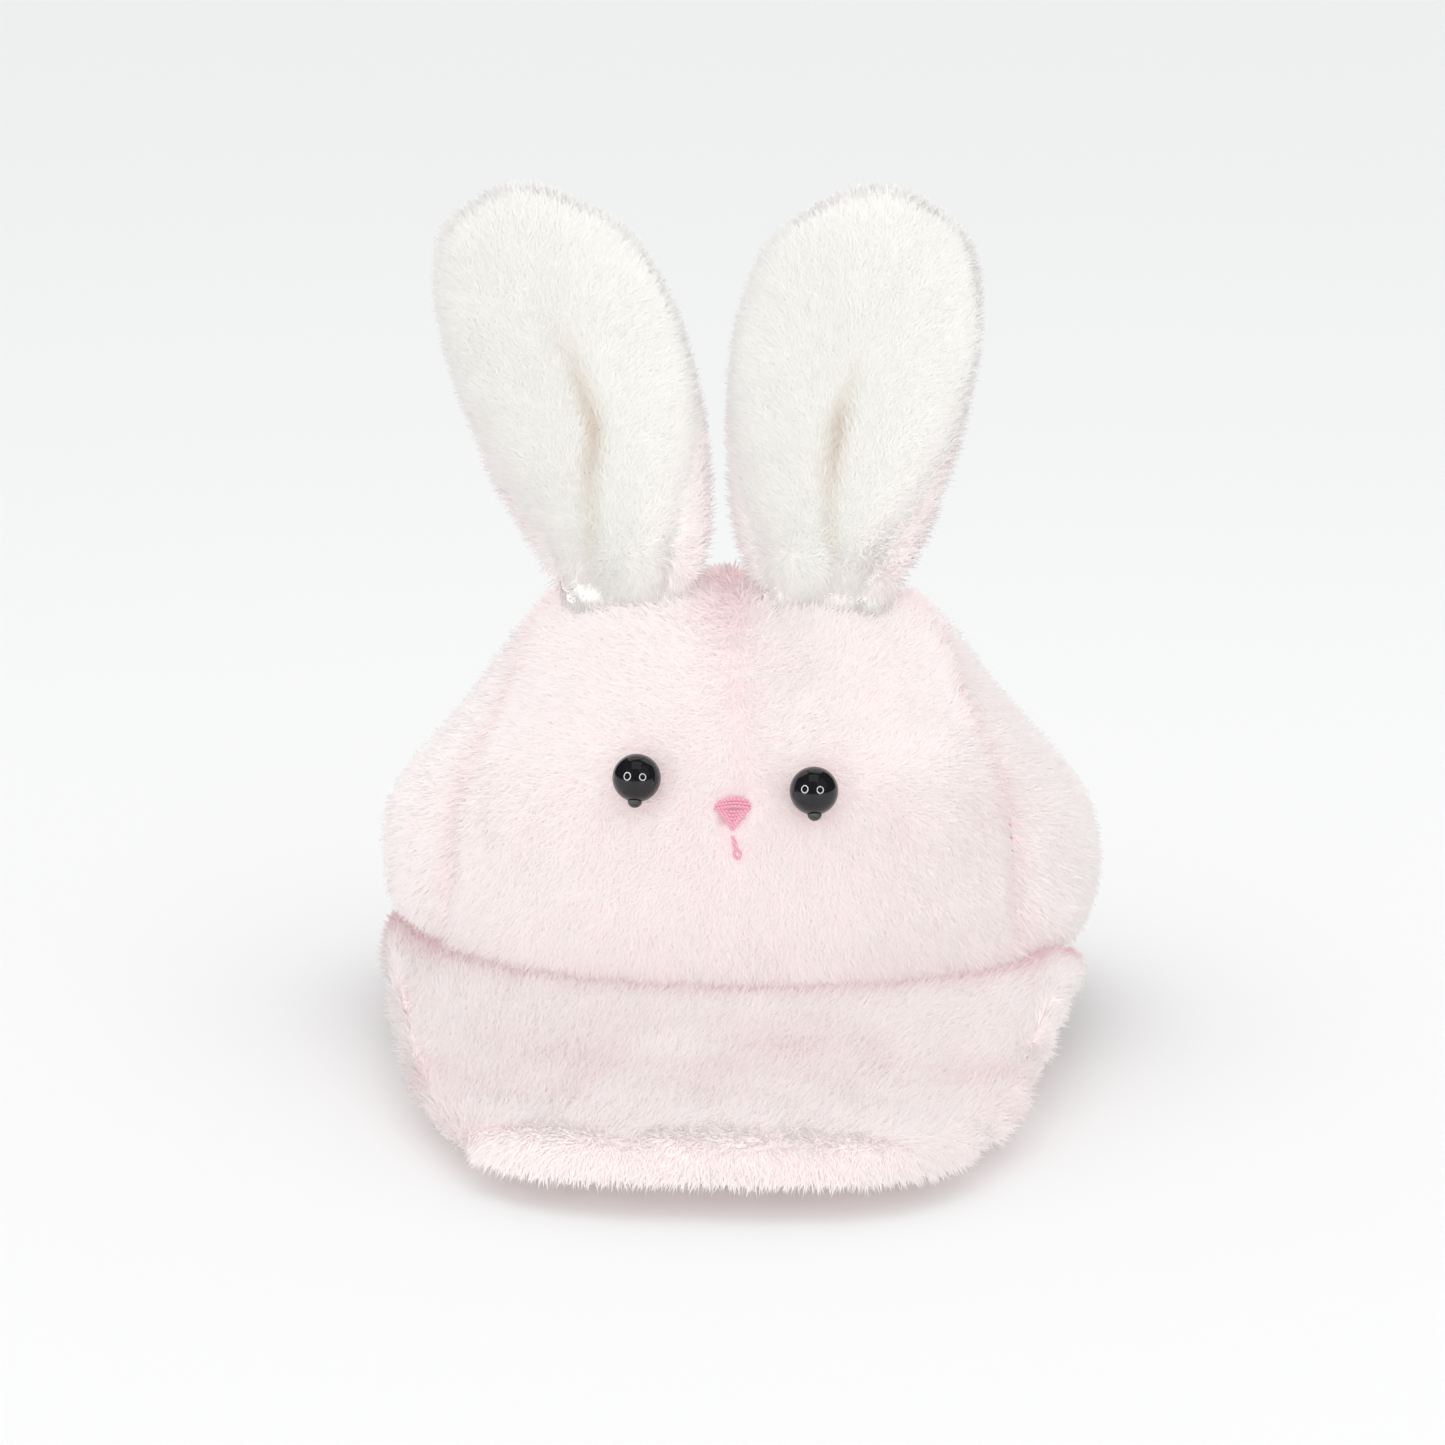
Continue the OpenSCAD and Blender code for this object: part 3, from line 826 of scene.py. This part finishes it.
def shape_crown_panel(obj, is_face, seed):
    """Presses the pile side of a panel in at its seams and, on the face, at the dart, beads
    and stitches. valley is how far, in millimetres, and painted_shade how deep the painted shade
    is."""
    co, facing, side, edge, thick = layers(obj)
    seam = 0.3 + 0.7 * smooth((co[:, 2] - 24) / 8)
    valley = seam * (0.7 * np.exp(-(edge / 2.5) ** 2) + 0.5 * np.exp(-(edge / 8.0) ** 2))
    # Painted shade along the seams
    painted_shade = seam * 0.16 * np.exp(-(edge / 2.0) ** 2)
    hang = np.zeros(len(co))
    short = np.zeros(len(co))
    if is_face:
        gap, along = distance_to_path(co[:, [0, 2]], DART)
        dart = np.exp(-(gap / 3.2) ** 2) * (1 - smooth((along - 0.15) / 0.6))
        valley += 0.5 * dart + 0.5 * np.exp(-(gap / 6) ** 2) * (1 - smooth(along))
        # Painted shade in the dart
        painted_shade = np.maximum(painted_shade, 0.42 * dart)
        hang = 1 - smooth((co[:, 2] - 20) / 4)
        valley *= 1 - 0.8 * hang
        for node in ("eye_left", "eye_right"):
            low_end, high_end = node_box(node)
            bead = (low_end + high_end) / 2 - np.array([0, 0, 1.2])
            away = np.linalg.norm((co - bead)[:, [0, 2]], axis=1)
            valley += 0.4 * np.exp(-(away / 4) ** 2)
            # Painted shadow in a ring round each bead
            painted_shade = np.maximum(painted_shade, 0.2 * np.exp(-(np.maximum(away - 3, 0) / 2) ** 2))
        nose, mouth = node_box("nose_stitches"), node_box("mouth_stitches")
        across = (nose[0][0] + nose[1][0]) / 2
        gap, along = distance_to_path(co[:, [0, 2]], [
            (across, nose[1][2] - 1), (across, nose[0][2] + 1), (mouth[1][0] - 0.7, mouth[0][2])])
        short = np.exp(-(gap / np.interp(along, [0, 0.4, 1], [3.6, 2.4, 1.0])) ** 4)
        # Painted shade along the nose stitches, where the pile is short
        painted_shade = np.maximum(painted_shade, np.exp(-(gap / 1.6) ** 4) * (along < 0.35))
    puff = 0.35 * waves(co, 16.0, seed)[:, 0]
    press = np.minimum(1.3 - 0.9 * hang + valley - puff, 0.85 * thick)
    co = co - facing * (side * press)[:, None]
    # The ears bunch the panels up between them
    bunch = np.exp(-((co[:, 0] + 1.6) / 5.0) ** 2) * smooth((co[:, 2] - 73) / 8)
    co[:, 2] += 4.5 * bunch
    # Painted shade in the fold where the panels bunch up
    painted_shade = np.maximum(painted_shade, 0.6 * bunch)
    put(obj, co)
    if is_face:
        nap = face_nap(co)
    else:
        nap = np.stack([0.25 * np.sign(co[:, 0]), 0.35 + 0 * co[:, 0], -1 + 0 * co[:, 0]], 1)
    keep_pile(obj, facing, side,
              nap=lay_nap(co, facing, nap, 0.7, seed),
              cover=smooth((side - 0.15) / 0.3),
              length=(1 - 0.25 * painted_shade + 0.25 * hang) * (1 - 0.7 * short),
              painted_shade=painted_shade)


class CAP_OT_crown(bpy.types.Operator):
    """Makes the three plush panels of the crown"""

    bl_idname = "cap.crown"
    bl_label = "Crown"

    def execute(self, context):
        panels = (("crown_front", "face_panel", plush().tufts_per_mm2, True, 1),
                  ("crown_side_left", "left_panel", 6.0, False, 2),
                  ("crown_side_right", "right_panel", 6.0, False, 3))
        for node, name, density, is_face, seed in panels:
            obj = cloth_from_node(node, name, crown_outwards)
            shape_crown_panel(obj, is_face, seed)
            plant_pile(obj, pink_plush(), density, seed=seed * 100,
                       width=1.0 if is_face else 1.25)
            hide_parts(*([node, "front_stiffener"] if is_face else [node]))
            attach(obj, "crown")
        return {"FINISHED"}


# Visor


def visor_outwards(is_top):
    """The rough way that a cover of the visor faces."""
    middle = np.array([0.0, -10.0, -25.0 if is_top else 45.0])
    return lambda co: unit(co - middle)


def shape_visor_cover(obj, is_top, seed):
    """Presses a cover in over the foam, and turns the upper one's pile over the front edge."""
    co, facing, side, edge, thick = layers(obj)
    x, y = co[:, 0], co[:, 1]
    dip = np.zeros(len(co))
    seam = np.zeros(len(co))
    if is_top:
        # A shallow dip in the middle, and the pile drawn in to the seam with the crown
        dip = 0.7 * np.exp(-((y + 50) / 14) ** 2 - (x / 34) ** 2)
        from_rim = np.hypot(x, (y - RIM_MIDDLE_Y) * RIM_STRETCH) - RIM_HALF_WIDTH
        seam = np.exp(-(np.maximum(from_rim, 0) / 3.2) ** 2)
        toward = np.stack([-x, RIM_MIDDLE_Y - y, 0 * x], 1)
        co = co + unit(toward) * (1.9 * seam * side)[:, None]
    if is_top:
        press = 1.2 + dip - 0.7 * seam - 0.5 * waves(co, 14.0, seed)[:, 0]
        press = np.minimum(press * smooth(edge / 15), 0.5 * thick)
    else:
        press = 0.8 * thick
    co = co - facing * (side * press)[:, None]
    put(obj, co)
    brim = smooth((-y - 62) / 10)
    if is_top:
        flow = np.stack([0.9 + 0.3 * np.sin(y * 0.35), -0.35 + 0 * x, 0.2 + 0 * x], 1)
        hang = np.stack([0.1 * np.sin(x * 0.3), -0.45 + 0 * x, -1 + 0 * x], 1)
        nap = flow * (1 - brim)[:, None] + hang * brim[:, None]
    else:
        nap = np.stack([0.02 * x, -0.7 + 0 * x, 0 * x], 1)
    lying = 1 + 0.9 * brim * is_top
    # Painted shade: along the seam under the crown's edge, and in streaks across the middle where
    # the visor dips
    streaks = 0.5 + 0.8 * waves(co * np.array([0.35, 1.6, 1.0]), 5.0, 9)[:, 0]
    dip_shade = 0.26 * np.exp(-((y + 48) / 11) ** 2) * streaks * is_top
    keep_pile(obj, facing, side,
              nap=lay_nap(co, facing, nap, 0.7, seed) * lying[:, None],
              cover=smooth((side - 0.1 - 0.25 * seam) / 0.3),
              length=(1.0 - 0.2 * seam) * (1 if is_top else 0.45),
              painted_shade=0.85 * seam + dip_shade)


class CAP_OT_visor(bpy.types.Operator):
    """Makes the two plush covers of the padded visor"""

    bl_idname = "cap.visor"
    bl_label = "Visor"

    def execute(self, context):
        for node, name, density, is_top, seed in (
                ("visor_top", "visor_cover", 8.0, True, 5),
                ("visor_bottom", "visor_underside", 4.0, False, 6)):
            obj = cloth_from_node(node, name, visor_outwards(is_top))
            shape_visor_cover(obj, is_top, seed)
            plant_pile(obj, pink_plush(), density, seed=seed * 100,
                       width=1.0 if is_top else 1.3)
            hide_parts(*([node, "visor_insert"] if is_top else [node]))
            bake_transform(obj)
        return {"FINISHED"}


# Ears


def ear_axis(co, which):
    """Where the middle of the ear lies across the cap at each height, and the share of the
    ear's length."""
    x0, _, z0 = EAR_SEAM[which]
    return x0 + (co[:, 2] - z0) * EAR_SLANT[which], (co[:, 2] - z0) / EAR_LENGTH


def ear_outwards(which):
    """The rough way that the cloth of an ear faces."""
    def outwards(co):
        axis, rise = ear_axis(co, which)
        y0 = EAR_SEAM[which][1]
        return unit(np.stack([(co[:, 0] - axis) / EAR_HALF_WIDTH,
                              (co[:, 1] - y0 - EAR_LEAN * rise) / EAR_HALF_THICKNESS,
                              (rise - 0.45) * 0.9], 1))
    return outwards


def shape_ear_cloth(obj, which, is_front, seed):
    """Presses an ear's cloth in at its seam and pleat, and draws its front down over the
    seam with the crown."""
    co, facing, side, edge, thick = layers(obj)
    axis, rise = ear_axis(co, which)
    valley = 0.35 * np.exp(-(edge / 2.5) ** 2)
    # Painted shade along the seam and, on the front, down the pleat
    painted_shade = 0.1 * np.exp(-(edge / 2.0) ** 2)
    if is_front:
        gap, along = distance_to_path(co[:, [0, 2]], EAR_PLEATS[which])
        depth = np.interp(along, [0, 0.25, 0.5, 0.75, 1], [0.35, 0.85, 1, 0.7, 0.1])
        shade = np.interp(along, [0, 0.3, 0.5, 0.75, 1], [0.1, 0.4, 0.75, 0.3, 0])
        valley += depth * (2.2 * np.exp(-(gap / 2.6) ** 2) + 0.9 * np.exp(-(gap / 7) ** 2))
        painted_shade = np.maximum(painted_shade * 0.4, shade * np.exp(-(gap / 1.8) ** 2))
    press = 1.0 + valley - 0.4 * waves(co, 12.0, seed)[:, 0]
    # The front's backing goes along where the pleat is deeper than the cloth
    if is_front:
        press = np.maximum(side * press, press - 0.8 * thick)
    else:
        press = np.minimum(side * press, 0.85 * thick)
    co = co - facing * np.maximum(press, 0)[:, None]
    spread = (co[:, 0] - axis) / EAR_HALF_WIDTH
    foot = smooth(1 - rise * EAR_LENGTH / 9) * smooth((EAR_SEAM[which][1] + 1.5 - co[:, 1]) / 2)
    foot = foot * smooth((0.8 - np.abs(spread)) / 0.35)
    co = co + foot[:, None] * np.array([0, -2.6, -4.6])
    put(obj, co)
    nap = np.stack([0.7 * spread, 0 * spread, 0.85 - 0.2 * np.abs(spread)], 1)
    nap = nap * (1 - foot)[:, None] + foot[:, None] * np.array([0, -0.3, -1])
    # Near the seam round the ear the pile of both cloths stands sideways
    brink = np.exp(-(edge / 3.5) ** 2)
    sideways = unit(facing * np.stack([1 + 0 * rise, 1 - 0.9 * brink, 1 + 0 * rise], 1))
    under = smooth(1 - rise * EAR_LENGTH / 5)
    # Pink and white tufts mix along the seam, on the front mostly low down
    low = 1 - smooth((rise - 0.3) / 0.35)
    if is_front:
        mingle = np.exp(-(edge / 3.0) ** 2) * (0.7 * low + 0.05)
    else:
        mingle = 0.9 * np.exp(-(edge / 2.2) ** 2)
    keep_pile(obj, sideways, side,
              nap=lay_nap(co, facing, nap, 0.6, seed),
              cover=np.maximum(smooth((side - 0.3) / 0.3), 0.8 * under),
              length=1 - 0.2 * painted_shade - 0.3 * np.exp(-(edge / 3) ** 2),
              painted_shade=painted_shade, mingle=mingle)


class CAP_OT_ears(bpy.types.Operator):
    """Makes the white front and pink back of each stuffed ear"""

    bl_idname = "cap.ears"
    bl_label = "Ears"

    def execute(self, context):
        for k, side in enumerate(("left", "right")):
            for is_front in (True, False):
                node = ("ear_front_" if is_front else "ear_back_") + side
                name = side + ("_ear_front" if is_front else "_ear_back")
                seed = 7 + 2 * k + is_front
                obj = cloth_from_node(node, name, ear_outwards(side))
                shape_ear_cloth(obj, side, is_front, seed)
                plant_pile(obj, white_plush() if is_front else pink_plush(),
                           11.0 if is_front else 8.0, length=0.95, seed=seed * 100)
                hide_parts(*([node, "ear_filling_" + side] if is_front else [node]))
                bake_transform(obj)
        return {"FINISHED"}


# Face


class CAP_OT_eyes(bpy.types.Operator):
    """Finishes the bead eyes and the thread that holds them"""

    bl_idname = "cap.eyes"
    bl_label = "Eyes"

    def execute(self, context):
        bead = bead_material()
        thread = yarn_material("Black thread", trim().thread, 900, 0.00005)
        for side in ("left", "right"):
            for node, material in (("eye_", bead), ("eye_thread_", thread)):
                finish_node(node + side, material)
        return {"FINISHED"}


def finish_node(name, material):
    obj = frame["nodes"][name]
    for slot in obj.material_slots:
        slot.link = "OBJECT"
        slot.material = material


class CAP_OT_embroidery(bpy.types.Operator):
    """Finishes the stitches of the nose and mouth"""

    bl_idname = "cap.embroidery"
    bl_label = "Embroidery"

    def execute(self, context):
        floss = yarn_material("Pink floss", trim().floss, 1100, 0.00006)
        finish_node("nose_stitches", floss)
        finish_node("mouth_stitches", floss)
        return {"FINISHED"}


class CAP_OT_lining(bpy.types.Operator):
    """Makes the lining panels and the facing, and hides the elastic"""

    bl_idname = "cap.lining"
    bl_label = "Lining"

    def execute(self, context):
        cotton = cotton_material("Cotton lining", trim().cotton)
        tape = cotton_material("Cotton tape", tuple(min(1, c * 1.06) for c in trim().cotton))
        for node, name, material, slot in (
                ("lining_front", "front_lining", cotton, "lining"),
                ("lining_side_left", "left_lining", cotton, "lining"),
                ("lining_side_right", "right_lining", cotton, "lining"),
                ("rim_band", "rim_facing", tape, "facing")):
            obj = cloth_from_node(node, name)
            co, no = places(obj), normals(obj)
            ripple = waves(co, 9.0, 20)[:, 0] * 0.35
            put(obj, co + no * ripple[:, None] * 0.5)
            obj.data.materials.append(material)
            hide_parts(*([node, "rim_elastic"] if node == "rim_band" else [node]))
            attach(obj, "crown")
        return {"FINISHED"}


# Stage

# Soft lamps: name, place in metres, width in metres, power in watts
SOFT_LAMPS = (("Key", (-0.55, -0.55, 0.8), 0.7, 0.06),
              ("Fill", (0.6, -0.5, 0.7), 0.8, 0.45),
              ("Top", (0.0, -0.2, 0.9), 0.6, 0.60))
RING_LAMPS = (("Ring lamp A", (-0.46, -0.50, 0.26)), ("Ring lamp B", (0.40, -0.62, 0.27)))


def lamp_material():
    material = bpy.data.materials.get("Lamp tube")
    if material:
        return material
    material = bpy.data.materials.new("Lamp tube")
    tree = nodes_of(material)
    out = add(tree, "ShaderNodeOutputMaterial", (300, 0))
    glow = add(tree, "ShaderNodeEmission", (0, 0))
    glow.inputs["Strength"].default_value = 26
    tree.links.new(glow.outputs[0], out.inputs[0])
    return material


def ring_lamp(name, place):
    """A round tube lamp beside the camera, which shows only as a glint in the beads."""
    place = Vector(place)
    deselect()
    bpy.ops.mesh.primitive_torus_add(major_segments=48, minor_segments=10,
                                     major_radius=0.20, minor_radius=0.024, location=place)
    ring = bpy.context.view_layer.objects.active
    ring.name = name
    ring.rotation_euler = (Vector((0, -0.02, 0.05)) - place).to_track_quat("Z", "Y").to_euler()
    ring.data.materials.append(lamp_material())
    ring.visible_camera = ring.visible_diffuse = ring.visible_shadow = False
    ring.visible_transmission = ring.visible_volume_scatter = False


class CAP_OT_stage(bpy.types.Operator):
    """Makes the floor, the lights and the camera"""

    bl_idname = "cap.stage"
    bl_label = "Stage"

    def execute(self, context):
        scene = context.scene
        settings = scene.cap_stage
        scene.view_settings.view_transform = "Standard"
        scene.view_settings.look = "None"
        deselect()
        bpy.ops.mesh.primitive_circle_add(vertices=96, radius=14, fill_type="NGON")
        floor = context.view_layer.objects.active
        floor.name = "Floor"
        material = bpy.data.materials.new("Pale floor")
        tree = nodes_of(material)
        out = add(tree, "ShaderNodeOutputMaterial", (400, 0))
        shader = add(tree, "ShaderNodeBsdfPrincipled", (100, 0))
        shader.inputs["Base Color"].default_value = (0.845, 0.85, 0.85, 1)
        shader.inputs["Roughness"].default_value = 0.8
        shader.inputs["Specular IOR Level"].default_value = 0.1
        tree.links.new(shader.outputs[0], out.inputs[0])
        floor.data.materials.append(material)
        world = bpy.data.worlds.new("Studio")
        scene.world = world
        world.use_nodes = True
        background = world.node_tree.nodes["Background"]
        background.inputs["Color"].default_value = (1.0, 1.0, 1.0, 1)
        background.inputs["Strength"].default_value = settings.daylight
        world.cycles_visibility.glossy = False
        for name, place in RING_LAMPS:
            ring_lamp(name, place)
        for name, place, size, power in SOFT_LAMPS:
            bpy.ops.object.light_add(type="AREA", location=place)
            lamp = context.view_layer.objects.active
            lamp.name = lamp.data.name = name
            lamp.data.size = size
            lamp.data.energy = power
            aim = Vector((0, 0, 0.06)) - Vector(place)
            lamp.rotation_euler = aim.to_track_quat("-Z", "Y").to_euler()
        camera = bpy.data.objects.new("Camera", bpy.data.cameras.new("Camera"))
        scene.collection.objects.link(camera)
        camera.location = settings.camera_place
        camera.rotation_euler = (math.pi / 2 - settings.camera_drop, 0, settings.camera_turn)
        camera.data.lens = settings.lens
        camera.data.sensor_width = 36
        camera.data.clip_start = 0.01
        scene.camera = camera
        return {"FINISHED"}


OPERATORS = (CAP_OT_stage, CAP_OT_crown, CAP_OT_visor, CAP_OT_ears, CAP_OT_eyes,
             CAP_OT_embroidery, CAP_OT_lining)


class CAP_PT_panel(bpy.types.Panel):
    bl_label = "Plush bunny cap"
    bl_idname = "CAP_PT_panel"
    bl_space_type = "VIEW_3D"
    bl_region_type = "UI"
    bl_category = "Cap"

    def draw(self, context):
        for operator in OPERATORS:
            self.layout.operator(operator.bl_idname)
        for settings in (context.scene.cap_plush, context.scene.cap_trim,
                         context.scene.cap_stage):
            box = self.layout.box()
            for name in settings.__annotations__:
                box.prop(settings, name)


CLASSES = (PlushSettings, TrimSettings, StageSettings, *OPERATORS, CAP_PT_panel)


def register():
    for cls in CLASSES:
        bpy.utils.register_class(cls)
    bpy.types.Scene.cap_plush = PointerProperty(type=PlushSettings)
    bpy.types.Scene.cap_trim = PointerProperty(type=TrimSettings)
    bpy.types.Scene.cap_stage = PointerProperty(type=StageSettings)


def unregister():
    del bpy.types.Scene.cap_stage
    del bpy.types.Scene.cap_trim
    del bpy.types.Scene.cap_plush
    for cls in reversed(CLASSES):
        bpy.utils.unregister_class(cls)


def main():
    register()
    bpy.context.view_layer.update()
    for operator in OPERATORS:
        group, name = operator.bl_idname.split(".")
        getattr(getattr(bpy.ops, group), name)()


if __name__ == "__main__":
    main()
